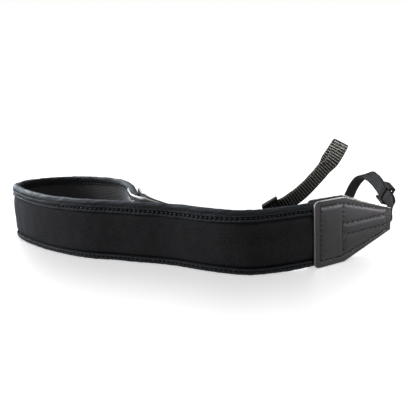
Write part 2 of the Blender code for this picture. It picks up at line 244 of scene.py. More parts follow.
# The rows of stitches on the tape.
UPPER_SEAM_FACE = 0.00190
UPPER_SEAM_INSET = 0.0058
LOWER_SEAM_FACE = 0.00255
LOWER_SEAM_INSET = 0.0029
INNER_SEAM_FACE = -0.00255
INNER_SEAM_INSET = 0.0050
BAND_STITCH = 0.0033
BAND_STITCH_GAP = 0.0013
BAND_THREAD = 0.00035
BAND_THREAD_RISE = 0.00015
STITCH_SKEW = 0.00012

# How much of each end of the tapes is closed from wall to wall, which the foam leaves free.
PLUG_LENGTH = 0.0012

# How far the upper tape's outer seam strays from its inset: a length along the band and a shift.
SEAM_WANDER = ((0.1300, -0.0006), (0.1460, 0), (0.1560, 0.0006), (0.1820, 0.0006), (0.1980, 0))
SEAM_WANDER_REACH = (0.0031, 0.0048)

# The crease that the left bend presses into the upper tape.
CREASE_LENGTHS = (0.280, 0.292, 0.325, 0.340)
CREASE_INSET = 0.0037
CREASE_WIDTH = 0.0005
CREASE_DEPTH = 0.0006

# The tabs' sewn rows, in u from the base towards the tip and w up from the tab's middle line.
TAB_THREAD = 0.00030
TAB_THREAD_RISE = 0.00018
UPRIGHT_STITCH = 0.0035
LENGTHWISE_STITCH = 0.0047
TAB_STITCH_GAP = 0.0011
BASE_ROW = 0.0055
BAND_END_ROW = 0.0276
TIP_ROW = 0.0764
EDGE_INSET = 0.0045
TIP_INSET = 0.0022
WEBBING_ROWS = (-0.0037, 0.0042)

# The leather's relief: channels along the seams, pillows between them, and the webbing's ridge.
CHANNEL_DEPTH = 0.00095
CHANNEL_WIDTH = 0.00090
PILLOW = 0.00065
PILLOW_REACH = 0.0045
WEBBING_RIDGE = 0.00025
RIDGE_SHOULDER = (0.0042, 0.0056)
PLY_WRINKLE = 0.00007
RIM_ROUND = 0.00045
RIM_FLAT = 0.35
RIM_RELIEF = 0.0012
RIM_CUT = (0.00020, 0.00060)

# Where painted shade darkens the leather beside its seams, and where a painted highlight makes it paler just
# under them.
SEAM_SHADE = 0.62
SEAM_SHADE_REACH = (0.0003, 0.0026)
HIGHLIGHT_LEAST = 0.22
HIGHLIGHT_DROP = 0.0014
HIGHLIGHT_WIDTH = 0.0011

# The webbing's ribs across it.
WEBBING_RIB = 0.0019
WEBBING_RIB_HEIGHT = 0.00030
WEBBING_PLACES = 9
SELVEDGE_NOTCH = 0.00015
SELVEDGE_STRAY = 0.00008


def smooth_line(rows, per_span=24):
    """Points of a centripetal Catmull-Rom curve through the rows, spaced by their places."""
    rows = [np.array(row, float) for row in rows]
    rows = [2 * rows[0] - rows[1]] + rows + [2 * rows[-1] - rows[-2]]
    line = []
    for a, b, c, d in zip(rows, rows[1:], rows[2:], rows[3:]):
        t1 = math.dist(a[:2], b[:2]) ** 0.5
        t2 = t1 + math.dist(b[:2], c[:2]) ** 0.5
        t3 = t2 + math.dist(c[:2], d[:2]) ** 0.5
        for t in np.linspace(t1, t2, per_span, endpoint=False):
            ab = a + (b - a) * t / t1
            bc = b + (c - b) * (t - t1) / (t2 - t1)
            cd = c + (d - c) * (t - t2) / (t3 - t2)
            abc = ab + (bc - ab) * t / t2
            bcd = bc + (cd - bc) * (t - t1) / (t3 - t1)
            line.append(abc + (bcd - abc) * (t - t1) / (t2 - t1))
    line.append(rows[-2])
    return np.array(line)


def lengths_of(line, columns):
    """The length along a line at each of its points."""
    steps = np.linalg.norm(np.diff(line[:, :columns], axis=0), axis=1)
    return np.concatenate([[0], np.cumsum(steps)])


SPINE_LINE = smooth_line(SPINE)
SPINE_LENGTHS = lengths_of(SPINE_LINE, 2)
SPINE_LENGTH = SPINE_LENGTHS[-1]
SPINE_HEADINGS = np.unwrap(
    np.arctan2(np.gradient(SPINE_LINE[:, 1], SPINE_LENGTHS), np.gradient(SPINE_LINE[:, 0], SPINE_LENGTHS))
)


def place(length, n, z):
    """The points at lengths along the spine, n out of the loop and z up the leaning band."""
    length, n, z = np.broadcast_arrays(length, n, z)
    x, y, lean, lift = (np.interp(length, SPINE_LENGTHS, column) for column in SPINE_LINE.T)
    heading = np.interp(length, SPINE_LENGTHS, SPINE_HEADINGS)
    lean = np.radians(lean)
    tall = z - BEAD_RADIUS
    outward = n * np.cos(lean) + tall * np.sin(lean)
    height = BEAD_RADIUS + lift + tall * np.cos(lean) - n * np.sin(lean)
    x = x - np.sin(heading) * outward - ORIGIN[0]
    y = y + np.cos(heading) * outward - ORIGIN[1]
    return np.stack([x, y, np.maximum(height, FLOOR_CLEAR)], -1)


def unit(vectors):
    """The vectors, each made 1 long."""
    return vectors / np.linalg.norm(vectors, axis=-1, keepdims=True)


def directions_out(length, n, z, side):
    """The directions that point away from the band at places on its outer side, 1, or inner, -1."""
    return unit(place(length, n + side * 0.001, z) - place(length, n, z))


def ripple(seed, x, y, wavelength, count=6):
    """A smooth random value of about -1 to 1 over (x, y), the same each run."""
    draw = np.random.default_rng(seed)
    total = 0
    for _ in range(count):
        length = wavelength * draw.uniform(0.6, 1.7)
        angle = draw.uniform(0, 2 * math.pi)
        phase = draw.uniform(0, 2 * math.pi)
        total = total + np.sin(2 * math.pi * (x * math.cos(angle) + y * math.sin(angle)) / length + phase)
    return total / count**0.5


def stitch_pull(along, pitch, seed):
    """1 where the thread goes through and 0 between two holes, a little uneven along the row."""
    uneven = 1 + 0.28 * ripple(seed, along, 0, 3.1 * pitch)
    return uneven * (0.5 + 0.5 * np.cos(2 * math.pi * along / pitch))


def ease(value, start, end):
    """0 before start, 1 after end, and smooth between them."""
    share = np.clip((value - start) / (end - start), 0, 1)
    return share * share * (3 - 2 * share)


def bell(off, width):
    """1 at no distance, and smoothly towards 0 over about two widths."""
    return np.exp(-((off / width) ** 2))


def along_band(step, trim=0):
    """Lengths along the padded band, a step apart, less a trim at both ends."""
    start = TAB_LENGTH - BAND_IN_TAB + trim
    end = SPINE_LENGTH - start
    return np.linspace(start, end, round((end - start) / step) + 1)


def show(thing, finish, slot, *nodes):
    """Give a piece its material and put it in place of its solids."""
    thing.data.materials.append(finish)
    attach(thing, "root")
    if nodes:
        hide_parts(*nodes)
    return thing


def mesh_object(name, points, faces, marks):
    """A smooth closed mesh whose faces point out, with a value at each point for each mark."""
    corners = points[faces[:, :3]]
    far = points[faces[:, -1]]
    volume = np.einsum("ij,ij->", corners[:, 0], np.cross(corners[:, 1], corners[:, 2]))
    volume += np.einsum("ij,ij->", corners[:, 0], np.cross(corners[:, 2], far))
    if volume < 0:
        faces = faces[:, ::-1]
    mesh = bpy.data.meshes.new(name)
    mesh.from_pydata(points.tolist(), [], faces.tolist())
    for mark, values in marks.items():
        layer = mesh.attributes.new(mark, "FLOAT", "POINT")
        layer.data.foreach_set("value", np.ascontiguousarray(values, np.float32).ravel())
    mesh.shade_smooth()
    mesh.set_sharp_from_angle(angle=math.radians(60))
    thing = bpy.data.objects.new(name, mesh)
    bpy.context.scene.collection.objects.link(thing)
    return thing


def slab(name, face, back, **marks):
    """A closed strip between two grids of points. A mark is a grid for the face and one for the back."""
    rings, places = face.shape[:2]
    points = np.concatenate([face, back[:, ::-1]], axis=1).reshape(-1, 3)
    index = np.arange(rings * 2 * places).reshape(rings, 2 * places)
    here, ahead = index[:-1], index[1:]
    faces = [np.stack([here, np.roll(here, -1, 1), np.roll(ahead, -1, 1), ahead], -1).reshape(-1, 4)]
    for ring, order in ((index[0], 1), (index[-1], -1)):
        front, rear = ring[:places], ring[:places - 1:-1]
        faces.append(np.stack([front[1:], front[:-1], rear[:-1], rear[1:]], -1)[:, ::order])
    values = {}
    for mark, (on_face, on_back) in marks.items():
        grids = [np.broadcast_to(grid, (rings, places)) for grid in (on_face, on_back)]
        values[mark] = np.concatenate([grids[0], grids[1][:, ::-1]], axis=1)
    return mesh_object(name, points, np.concatenate(faces), values)


def threads(name, starts, ends, ups, radius, rise):
    """Stitches from hole to hole: each is a short thread that arches over the surface."""
    steps, sides = 9, 8
    share = np.linspace(0, 1, steps)
    arch = (np.sin(math.pi * share) ** 0.6 * (rise + radius) - radius)[None, :, None]
    along = ends - starts
    middle = starts[:, None] + along[:, None] * share[None, :, None] + ups[:, None] * arch
    forward = unit(np.gradient(middle, axis=1))
    across = unit(np.cross(forward, ups[:, None]))
    over = np.cross(across, forward)
    thick = radius * (0.55 + 0.45 * np.sin(math.pi * share) ** 0.5)
    turn = 2 * math.pi * np.arange(sides) / sides
    ring = across[:, :, None] * np.cos(turn)[:, None] + over[:, :, None] * np.sin(turn)[:, None]
    points = middle[:, :, None] + ring * thick[None, :, None, None]
    count = len(starts)
    index = np.arange(count * steps * sides).reshape(count, steps, sides)
    here, ahead = index[:, :-1], index[:, 1:]
    faces = np.stack([here, np.roll(here, -1, 2), np.roll(ahead, -1, 2), ahead], -1).reshape(-1, 4)
    caps = []
    for ring, order in ((index[:, 0], 1), (index[:, -1], -1)):
        for corner in range(1, sides // 2):
            cap = np.stack([ring[:, corner], ring[:, corner - 1], ring[:, -corner], ring[:, -corner - 1]], -1)
            caps.append(cap[:, ::order])
    marks = {"along": share[None, :, None], "across": turn[None, None]}
    marks = {mark: np.broadcast_to(values, index.shape) for mark, values in marks.items()}
    return mesh_object(name, points.reshape(-1, 3), np.concatenate([faces, *caps]), marks)


# ---------------- the padded band


def build_pad(finish):
    """The foam with its knitted face: crowned, and drawn in along the sewn tape."""
    along = along_band(PAD_STEP, PLUG_LENGTH)[:, None]
    z, face, drawn = smooth_line(FOAM_ROWS, per_span=4).T[:, None]
    pull = stitch_pull(along, BAND_STITCH, 11)
    dents = ripple(12, along, z * 1.6, 0.034) + 0.5 * ripple(13, along, z * 0.7, 0.012)
    open_face = ease(z, *OPEN_FACE_STARTS) * (1 - ease(z, *OPEN_FACE_ENDS))
    face = face - FOAM_PUCKER * drawn * pull + FOAM_RIPPLE * dents * open_face
    pad = slab(
        "pad_foam",
        place(along, face, z),
        place(along, np.full_like(z, FOAM_BACK), z),
        along=(along, along),
        across=(z, z),
        # Painted shade in the fold beside the lower tape.
        shaded=(bell(z - FOAM_FOLD, FOAM_FOLD_WIDTH), 0),
    )
    show(pad, finish, "neoprene", "pad")
    return pad


def build_lining(finish):
    """The lining, with fine ribs along it on the side that lies on the neck."""
    along = along_band(LINING_STEP)[:, None]
    low, high = BEAD_RADIUS, BAND_WIDTH - BEAD_RADIUS
    count = round((high - low) / RIB_PITCH)
    z = np.linspace(low, high, count * RIB_SAMPLES + 1)[None]
    phase = (z - low) * count / (high - low)
    rib = np.abs(np.sin(math.pi * phase)) ** 0.7
    slack = LINING_SLACK * ripple(21, along, z, 0.020)
    face = LINING_FACE + RIB_HEIGHT / 2 - RIB_HEIGHT * rib + slack
    back = LINING_FACE + LINING_WALL
    lining = slab(
        "lining_ribbed",
        place(along, face, z),
        place(along, np.full_like(z, back), z),
        along=(along, along),
        across=(z, z),
        crest=(rib, 0),
    )
    return show(lining, finish, "lining", "lining")


def tape_rows(outer_lip):
    """The tape's profile, as columns: face, inset, gather, the way out in two parts, and the girth."""
    arc = []
    for step in range(1, ARC_STEPS):
        angle = math.pi * step / ARC_STEPS
        arc.append((-BEAD_RADIUS * math.cos(angle), BEAD_RADIUS * (1 - math.sin(angle)), 0))
    line = smooth_line([*INNER_LIP, *arc, *outer_lip], per_span=2)
    face, inset, gather = line.T
    tangent = np.stack([np.gradient(face), np.gradient(inset)])
    tangent /= np.linalg.norm(tangent, axis=0)
    girth = lengths_of(line, 2)
    return face, inset, gather, tangent[1], -tangent[0], girth


def seam_wander(along):
    """How far the upper tape's outer seam strays into the band at lengths along it."""
    lengths, shifts = zip(*SEAM_WANDER)
    return np.interp(along, lengths, shifts)


def build_tape(name, outer_lip, on_top, seed, finish, node):
    """The woven tape folded over one edge, gathered along its sewn channels."""
    along = along_band(TAPE_STEP)[:, None]
    face, inset, gather, out, into, girth = tape_rows(outer_lip)
    pull = stitch_pull(along, BAND_STITCH, seed)
    drag = stitch_pull(along + BAND_STITCH / 2, BAND_STITCH, seed + 1)
    slack = ripple(seed + 2, along, girth * 2.5, 0.013) + 0.6 * ripple(seed + 3, along, girth * 4, 0.005)
    plump = 1 - gather
    push = TAPE_RIPPLE * slack * (0.35 + 0.65 * plump) - TAPE_PUCKER * gather * pull
    push = push + 0.4 * TAPE_PUCKER * gather * (1 - gather) * 4 * drag
    thin = np.ones_like(girth)
    thin[[0, -1]] = 0.4
    plugged = 1 - ease(np.minimum(along - along[0], along[-1] - along), 0, PLUG_LENGTH)
    wall = TAPE_WALL * thin + (0.97 * BEAD_RADIUS - TAPE_WALL) * plugged
    outer = (face > 0) & on_top
    stray = seam_wander(along) * outer * ease(inset, *SEAM_WANDER_REACH)
    crease = ease(along, *CREASE_LENGTHS[:2]) * (1 - ease(along, *CREASE_LENGTHS[2:]))
    push = push - CREASE_DEPTH * crease * outer * bell(inset - CREASE_INSET, CREASE_WIDTH)

    def point(depth):
        n = face + out * depth
        edge = inset + stray + into * depth
        return place(along, n, BAND_WIDTH - edge if on_top else edge)

    # Painted shade in the stitch channels and on the tape's inner side, and a painted highlight on its raised
    # ridges.
    shaded = np.maximum(gather**2 * (0.7 + 0.3 * pull), INNER_SHADE * ease(-face, *INNER_SHADE_REACH))
    raised = ease(face, *RAISED_FACE) * (inset > RAISED_INSET)
    tape = slab(
        name,
        point(push),
        point(push - wall),
        along=(along, along),
        across=(girth, girth),
        shaded=(shaded, 0),
        raised=(raised, 0),
    )
    return show(tape, finish, "binding_tape", node)


def band_stitches(name, face, inset, on_top, finish):
    """One row of stitches along the band, on its outer side or its inner one."""
    start = TAB_LENGTH - BAND_IN_TAB
    first = math.ceil(start / BAND_STITCH)
    last = math.floor((SPINE_LENGTH - start) / BAND_STITCH)
    hole = np.arange(first, last) * BAND_STITCH
    half_gap = BAND_STITCH_GAP / 2
    if on_top and face > 0:
        inset = inset + seam_wander(hole)
    z = BAND_WIDTH - inset if on_top else inset
    skew = STITCH_SKEW * ripple(31, hole, 0, 0.009)
    side = 1 if face > 0 else -1
    starts = place(hole + half_gap, face, z + skew)
    ends = place(hole + BAND_STITCH - half_gap, face, z - skew)
    middle = hole + BAND_STITCH / 2
    ups = directions_out(middle, face, z, side)
    row = threads(name, starts, ends, ups, BAND_THREAD, BAND_THREAD_RISE)
    return show(row, finish, "binding_tape")


# ---------------- the leather tabs

Seam = namedtuple("Seam", "u0 w0 u1 w1 pitch")


def tab_half_width(u, straight):
    """Half a ply's width at u from its base: rounded base corners, straight, then narrowing."""
    narrowing = np.maximum(u - straight, 0) / (TAB_LENGTH - straight)
    half = TAB_WIDTH / 2 - narrowing * (TAB_WIDTH - TAB_TIP_WIDTH) / 2
    corner = np.clip(TAB_CORNER - u, 0, TAB_CORNER)
    return half - (TAB_CORNER - np.sqrt(TAB_CORNER**2 - corner**2))


def tab_seams():
    """The sewn rows of a tab, which go through both of its plies."""
    edge = TAB_WIDTH / 2 - EDGE_INSET
    tip = float(tab_half_width(TIP_ROW, OUTER_PLY_STRAIGHT)) - TIP_INSET
    seams = [
        Seam(BASE_ROW, -edge, BASE_ROW, edge, UPRIGHT_STITCH),
        Seam(BAND_END_ROW, -edge, BAND_END_ROW, edge, UPRIGHT_STITCH),
        Seam(TIP_ROW, -tip, TIP_ROW, tip, UPRIGHT_STITCH * 0.8),
    ]
    for side in (-1, 1):
        seams.append(Seam(BASE_ROW, side * edge, BAND_END_ROW, side * edge, LENGTHWISE_STITCH))
        seams.append(Seam(BAND_END_ROW, side * edge, TIP_ROW, side * tip, LENGTHWISE_STITCH))
    for w in WEBBING_ROWS:
        seams.append(Seam(BAND_END_ROW, w, TIP_ROW, w, LENGTHWISE_STITCH))
    return seams


def seam_size(seam):
    """A seam's length, and how many stitches it has."""
    length = math.hypot(seam.u1 - seam.u0, seam.w1 - seam.w0)
    return length, max(round(length / seam.pitch), 1)


def seam_holes(seam):
    """The (u, w) places of a seam's holes."""
    share = np.linspace(0, 1, seam_size(seam)[1] + 1)
    return seam.u0 + (seam.u1 - seam.u0) * share, seam.w0 + (seam.w1 - seam.w0) * share


def seam_relief(u, w):
    """How far the sewing sinks the leather at (u, w), and how near the next seam is."""
    sunk, nearest = 0, 1
    for seam in tab_seams():
        du, dw = seam.u1 - seam.u0, seam.w1 - seam.w0
        length, count = seam_size(seam)
        share = np.clip(((u - seam.u0) * du + (w - seam.w0) * dw) / length**2, 0, 1)
        off = np.hypot(u - seam.u0 - share * du, w - seam.w0 - share * dw)
        pull = 0.62 + 0.38 * np.cos(2 * math.pi * share * count)
        sunk = np.maximum(sunk, pull * bell(off, CHANNEL_WIDTH * (0.8 + 0.3 * pull)))
        nearest = np.minimum(nearest, off)
    return sunk, nearest


def seam_painted_highlight(u, w):
    """How strongly a highlight is painted on the leather just under each lengthwise seam, most of all near
    the top.
    """
    polish = 0
    for seam in tab_seams():
        if seam.u1 == seam.u0:
            continue
        share = (u - seam.u0) / (seam.u1 - seam.u0)
        beside = ease(share, 0, 0.04) * (1 - ease(share, 0.96, 1))
        drop = seam.w0 + (seam.w1 - seam.w0) * share - w
        strength = np.clip(HIGHLIGHT_LEAST + (seam.w0 + seam.w1) / TAB_WIDTH, 0, 1)
        polish = np.maximum(polish, strength * beside * bell(drop - HIGHLIGHT_DROP, HIGHLIGHT_WIDTH))
    return polish


def ply_offset(u):
    """How far a ply's outer face stands off the tab's middle surface."""
    slope = np.maximum(u - PLY_SLOPE_START, 0) / (TAB_LENGTH - PLY_SLOPE_START)
    return PLY_ON_BAND + (PLY_ON_WEBBING - PLY_ON_BAND) * slope


def ply_bump(u, w, seed):
    """The leather's relief at (u, w): sewn channels, soft pillows between them, the webbing's ridge."""
    sunk, nearest = seam_relief(u, w)
    inside = ease(u, BASE_ROW, BASE_ROW + 0.002) * (1 - ease(u, TIP_ROW - 0.002, TIP_ROW))
    pillow = inside * ease(nearest, 0, PILLOW_REACH)
    on_webbing = ease(u, BAND_END_ROW, BAND_END_ROW + 0.003) * (1 - ease(np.abs(w), *RIDGE_SHOULDER))
    wrinkle = PLY_WRINKLE * ripple(seed, u, w, 0.012)
    return PILLOW * pillow + WEBBING_RIDGE * on_webbing - CHANNEL_DEPTH * sunk + wrinkle


def spaced(length, step):
    """Places from 0 to length, closer together at both ends."""
    ends = np.array([0, 0.12, 0.35, 0.7]) * RIM_ROUND
    first, last = RIM_ROUND * 1.1, length - RIM_ROUND * 1.1
    middle = np.linspace(first, last, round((last - first) / step) + 1)
    return np.concatenate([ends, middle, (length - ends)[::-1]])


def build_ply(name, length_of, side, seed, finish, node):
    """One leather ply with rounded cut edges, sewn through along its rows."""
    straight = OUTER_PLY_STRAIGHT if side > 0 else INNER_PLY_STRAIGHT
    u = spaced(TAB_LENGTH, PLY_STEP)[:, None]
    across = spaced(TAB_WIDTH, PLY_STEP)[None] / TAB_WIDTH * 2 - 1
    half = tab_half_width(u, straight)
    w = across * half
    from_side = (1 - np.abs(across)) * half
    from_end = np.minimum(u, TAB_LENGTH - u)
    rim = np.minimum(from_side, from_end)
    rounded = np.sqrt(1 - (1 - np.clip(rim / RIM_ROUND, 0, 1)) ** 2)
    half_wall = TAB_WALL / 2 * (RIM_FLAT + (1 - RIM_FLAT) * rounded)
    middle = ply_offset(u) - TAB_WALL / 2 + ply_bump(u, w, seed) * ease(rim, 0, RIM_RELIEF)
    length = length_of(u)
    z = TAB_MIDDLE + w
    cut = 1 - ease(rim, *RIM_CUT)
    # Painted shade in and beside the seams, and a painted highlight just under the lengthwise ones.
    sunk, nearest = seam_relief(u, w)
    sunk = np.maximum(sunk, SEAM_SHADE * (1 - ease(nearest, *SEAM_SHADE_REACH)))
    ply = slab(
        name,
        place(length, side * (middle + half_wall), z),
        place(length, side * (middle - half_wall), z),
        along=(u, u),
        across=(w, w),
        cut=(cut, cut),
        sunk=(sunk, 0),
        polished=(seam_painted_highlight(u, w), 0),
    )
    return show(ply, finish, "leather", node)


def tab_stitches(name, length_of, side, seed, finish):
    """All the stitches that show on one ply."""
    starts, ends, ups = [], [], []
    for seam in tab_seams():
        u, w = seam_holes(seam)
        du, dw = np.diff(u), np.diff(w)
        middle_u, middle_w = u[:-1] + du / 2, w[:-1] + dw / 2
        bump = ply_bump(middle_u, middle_w, seed)
        trim = TAB_STITCH_GAP / 2 / np.hypot(du, dw)
        for found, share in ((starts, trim), (ends, 1 - trim)):
            hole_u, hole_w = u[:-1] + du * share, w[:-1] + dw * share
            found.append(place(length_of(hole_u), side * (ply_offset(hole_u) + bump), TAB_MIDDLE + hole_w))
        out = side * ply_offset(middle_u)
        ups.append(directions_out(length_of(middle_u), out, TAB_MIDDLE + middle_w, side))
    rows = (np.concatenate(found) for found in (starts, ends, ups))
    stitches = threads(name, *rows, TAB_THREAD, TAB_THREAD_RISE)
    return show(stitches, finish, "leather")


# ---------------- the webbing ends


class WebbingRoute:
    """The middle line of one webbing end, from inside its tab to the end of its lug loop."""

    def __init__(self, inside, free, slider_at):
        self.line = smooth_line(list(inside) + list(free))
        self.lengths = lengths_of(self.line, 3)
        self.total = self.lengths[-1]
        self.slider = WEBBING_IN_TAB + slider_at
        self.tail = self.slider - TAIL_PAST_SLIDER
        self.centre = self.total - LOOP_RADIUS

    def middle(self, along):
        """The middle line's points."""
        return np.stack([np.interp(along, self.lengths, column) for column in self.line.T[:3]], -1)

    def frame(self, along):
        """The middle line's points, and the directions along it, across it and off its face."""
        roll = np.interp(along, self.lengths, self.line[:, 3])
        tangent = unit(self.middle(along + TANGENT_STEP) - self.middle(along - TANGENT_STEP))
        upright = unit(np.array([0, 0, 1]) - tangent * tangent[..., 2:])
        turn = np.radians(roll)[..., None]
        across = upright * np.cos(turn) + np.cross(tangent, upright) * np.sin(turn)
        return self.middle(along), tangent, across, np.cross(tangent, across)

    def wave(self, along):
        """How far the slider's bars push the webbing off its middle line, and the slope there."""
        off = np.abs(along - self.slider)
        sign = np.where(along > self.slider, 1, -1)
        turn = math.pi / BAR_PITCH
        late = off - BAR_PITCH
        fade = math.pi / WAVE_FADE
        near = off <= BAR_PITCH
        far = (off > BAR_PITCH) & (off <= BAR_PITCH + WAVE_FADE)
        push = np.where(far, -WAVE * (1 + np.cos(late * fade)) / 2, 0)
        push = np.where(near, WAVE * np.cos(off * turn), push)
        slope = np.where(near, -sign * WAVE * turn * np.sin(off * turn), 0)
        slope = np.where(far, sign * WAVE * fade * np.sin(late * fade) / 2, slope)
        return push, slope

    def layer(self, along, side):
        """The (along, w) places of the outgoing layer, side -1, or of the returning one, side 1."""
        push, slope = self.wave(along)
        loop_start = self.total - LOOP_LENGTH
        off = LAYER + (LOOP_RADIUS - LAYER) * ease(along, loop_start, loop_start + LOOP_TAPER)
        if side < 0:
            off = off * ease(along, self.tail - 2 * TAIL_BLEND, self.tail - TAIL_BLEND)
        tilt = np.arctan(slope)
        return np.stack([along - side * off * np.sin(tilt), push + side * off * np.cos(tilt)], -1)

    def profile(self, step):
        """The webbing's (along, w) places from the tab, round the loop and back to its tail."""
        out = self.layer(np.arange(0, self.centre, step), -1)
        back = self.layer(np.arange(self.centre, self.tail, -step), 1)
        angle = np.linspace(0, math.pi, round(math.pi * LOOP_RADIUS / step))[1:-1]
        loop = np.stack([self.centre + LOOP_RADIUS * np.sin(angle), -LOOP_RADIUS * np.cos(angle)], -1)
        return np.concatenate([out, loop, back])

    def point(self, along, w, across):
        """The points of the webbing at (along, w), across its width from its middle."""
        middle, _, wide, off = self.frame(along)
        points = middle + wide * across[..., None] + off * w[..., None] - ORIGIN
        points[..., 2] = np.maximum(points[..., 2], FLOOR_CLEAR)
        return points


def inside_tab(length, side):
    """A route row in the middle of a tab: side says which way the webbing runs along the spine."""
    point = place(length, 0, TAB_MIDDLE) + ORIGIN
    lean = np.interp(length, SPINE_LENGTHS, SPINE_LINE[:, 2])
    return (*point, side * lean)


def build_webbing(name, route, seed, finish, node):
    """One webbing end, with its ribs across and a rounded selvedge."""
    profile = route.profile(WEBBING_RIB / RIB_SAMPLES)
    girth = lengths_of(profile, 2)
    tangent = unit(np.gradient(profile, girth, axis=0))
    normal = np.stack([-tangent[:, 1], tangent[:, 0]], -1)
    rib = np.abs(np.sin(math.pi * girth / WEBBING_RIB)) ** 0.8
    spread = np.sin(np.linspace(-math.pi / 2, math.pi / 2, WEBBING_PLACES))
    thin = 0.3 + 0.7 * np.sqrt(np.maximum(1 - np.abs(spread) ** 5, 0))
    body = WEBBING_WALL / 2 - WEBBING_RIB_HEIGHT
    half_wall = (body + WEBBING_RIB_HEIGHT * rib[:, None]) * thin
    edge = WEBBING_WIDTH / 2 - SELVEDGE_NOTCH * (1 - rib) + SELVEDGE_STRAY * ripple(seed, girth, 0, 0.011)
    across = edge[:, None] * spread

    def point(depth):
        at = profile[:, None] + normal[:, None] * depth[..., None]
        return route.point(at[..., 0], at[..., 1], across)

    crest = np.broadcast_to(rib[:, None], across.shape)
    webbing = slab(
        name,
        point(half_wall),
        point(-half_wall),
        along=(girth[:, None], girth[:, None]),
        across=(across, across),
        crest=(crest, crest),
    )
    return show(webbing, finish, "webbing", node)


def settle(thing):
    """Apply a thing's modifiers to its mesh."""
    graph = bpy.context.evaluated_depsgraph_get()
    mesh = bpy.data.meshes.new_from_object(thing.evaluated_get(graph))
    thing.modifiers.clear()
    thing.data = mesh


def rounded_box(name, low, high):
    """A box between two corners with a moulding's rounded edges."""
    bpy.ops.mesh.primitive_cube_add(size=1)
    thing = bpy.context.object
    thing.name = name
    low, high = Vector(low), Vector(high)
    thing.data.transform(Matrix.Translation((low + high) / 2) @ Matrix.Diagonal((*(high - low), 1)))
    bevel = thing.modifiers.new("edges", "BEVEL")
    bevel.width = SLIDER_EDGE
    bevel.segments = 3
    settle(thing)
    return thing


def build_slider(name, route, finish, node):
    """The slider: two sides joined by three bars with rounded edges."""
    half_length = BAR_PITCH + BAR_WIDTH / 2
    inner = SLIDER_OPENING / 2
    outer = inner + SLIDER_SIDE
    top = BAR_FACE + BAR_HEIGHT
    slider = rounded_box(name, (-half_length, inner, -top), (half_length, outer, top))
    pieces = [rounded_box(name + "_side", (-half_length, -outer, -top), (half_length, -inner, top))]
    for number, middle in enumerate((-BAR_PITCH, 0, BAR_PITCH)):
        low, high = (-top, -BAR_FACE) if middle == 0 else (BAR_FACE, top)
        reach = inner + SLIDER_SIDE / 2
        start = (middle - BAR_WIDTH / 2, -reach, low)
        end = (middle + BAR_WIDTH / 2, reach, high)
        pieces.append(rounded_box(f"{name}_bar_{number}", start, end))
    for piece in pieces:
        join = slider.modifiers.new("join", "BOOLEAN")
        join.operation = "UNION"
        join.object = piece
    settle(slider)
    for piece in pieces:
        bpy.data.objects.remove(piece)
    place_at, tangent, across, off = (Vector(found) for found in route.frame(route.slider))
    turned = Matrix((tangent, across, off)).transposed().to_4x4()
    slider.data.transform(Matrix.Translation(place_at - Vector(ORIGIN)) @ turned)
    slider.data.shade_smooth()
    slider.data.set_sharp_from_angle(angle=math.radians(35))
    return show(slider, finish, "slider_plastic", node)


# ---------------- materials


class Graph:
    """A material's node tree, with short calls for the nodes that the finishes share."""

    def __init__(self, name, colour, roughness, **sockets):
        self.material = bpy.data.materials.new(name)
        self.material.use_nodes = True
        self.nodes = self.material.node_tree.nodes
        self.shader = self.nodes["Principled BSDF"]
        self.set(Base_Color=(*colour, 1), Roughness=roughness, **sockets)
        self.material.diffuse_color = (*colour, 1)

    def set(self, **sockets):
        """Set or link the shader's sockets."""
        for name, value in sockets.items():
            self.plug(self.shader.inputs[name.replace("_", " ")], value)

    def plug(self, socket, value):
        """Link a node's output to a socket, or set the socket's own value."""
        if isinstance(value, bpy.types.NodeSocket):
            self.material.node_tree.links.new(value, socket)
        else:
            socket.default_value = value

    def node(self, kind, **sockets):
        """A new node, with its sockets set or linked."""
        node = self.nodes.new("ShaderNode" + kind)
        for name, value in sockets.items():
            self.plug(node.inputs[name], value)
        return node

    def mark(self, name):
        """The value that the mesh holds at each point."""
        node = self.node("Attribute")
        node.attribute_name = name
        return node.outputs["Fac"]

    def maths(self, operation, *values):
        """One sum of two or three values."""
        node = self.node("Math")
        node.operation = operation
        for socket, value in zip(node.inputs, values):
            self.plug(socket, value)
        return node.outputs[0]

    def times(self, value, factor, plus=0.0):
        """A value times a factor, plus another value."""
        return self.maths("MULTIPLY_ADD", value, factor, plus)

    def pair(self, x, y):
        """A place on the face made from two values."""
        return self.node("CombineXYZ", X=x, Y=y).outputs[0]

    def surface(self):
        """The marks along and across the piece, and the place that they make."""
        along, across = self.mark("along"), self.mark("across")
        return along, across, self.pair(along, across)

    def object_place(self):
        """The place in the object's own coordinates."""
        return self.node("TexCoord").outputs["Object"]

    def noise(self, at, scale, detail=3.0, roughness=0.55):
        """Soft noise from 0 to 1."""
        node = self.node("TexNoise", Vector=at, Scale=scale, Detail=detail, Roughness=roughness)
        return node.outputs["Fac"]

    def cells(self, at, scale, feature="F1"):
        """The distance in a pattern of cells."""
        node = self.node("TexVoronoi", Vector=at, Scale=scale)
        node.feature = feature
        return node.outputs["Distance"]

    def wave(self, value, pitch):
        """A wave from 0 to 1 that repeats each pitch of a value in metres."""
        turn = self.times(value, 2 * math.pi / pitch)
        return self.times(self.maths("SINE", turn), 0.5, 0.5)

    def span(self, value, low, high, start=0.0, end=1.0):
        """A value's range from low to high, spread over start to end and held there."""
        node = self.node("MapRange")
        node.interpolation_type = "SMOOTHSTEP"
        for socket, number in zip(node.inputs, (value, low, high, start, end)):
            self.plug(socket, number)
        return node.outputs[0]

    def blend(self, share, dark, light):
        """A colour between two."""
        node = self.node("Mix", Factor=share)
        node.data_type = "RGBA"
        for name, colour in (("A", dark), ("B", light)):
            socket = next(found for found in node.inputs if found.name == name and found.type == "RGBA")
            self.plug(socket, colour if isinstance(colour, bpy.types.NodeSocket) else (*colour, 1))
        return next(found for found in node.outputs if found.type == "RGBA")

    def bump(self, height, distance, strength=1.0):
        """Relief from a height of 0 to 1, as deep as the distance."""
        node = self.node("Bump", Height=height, Distance=distance, Strength=strength)
        self.set(Normal=node.outputs["Normal"])


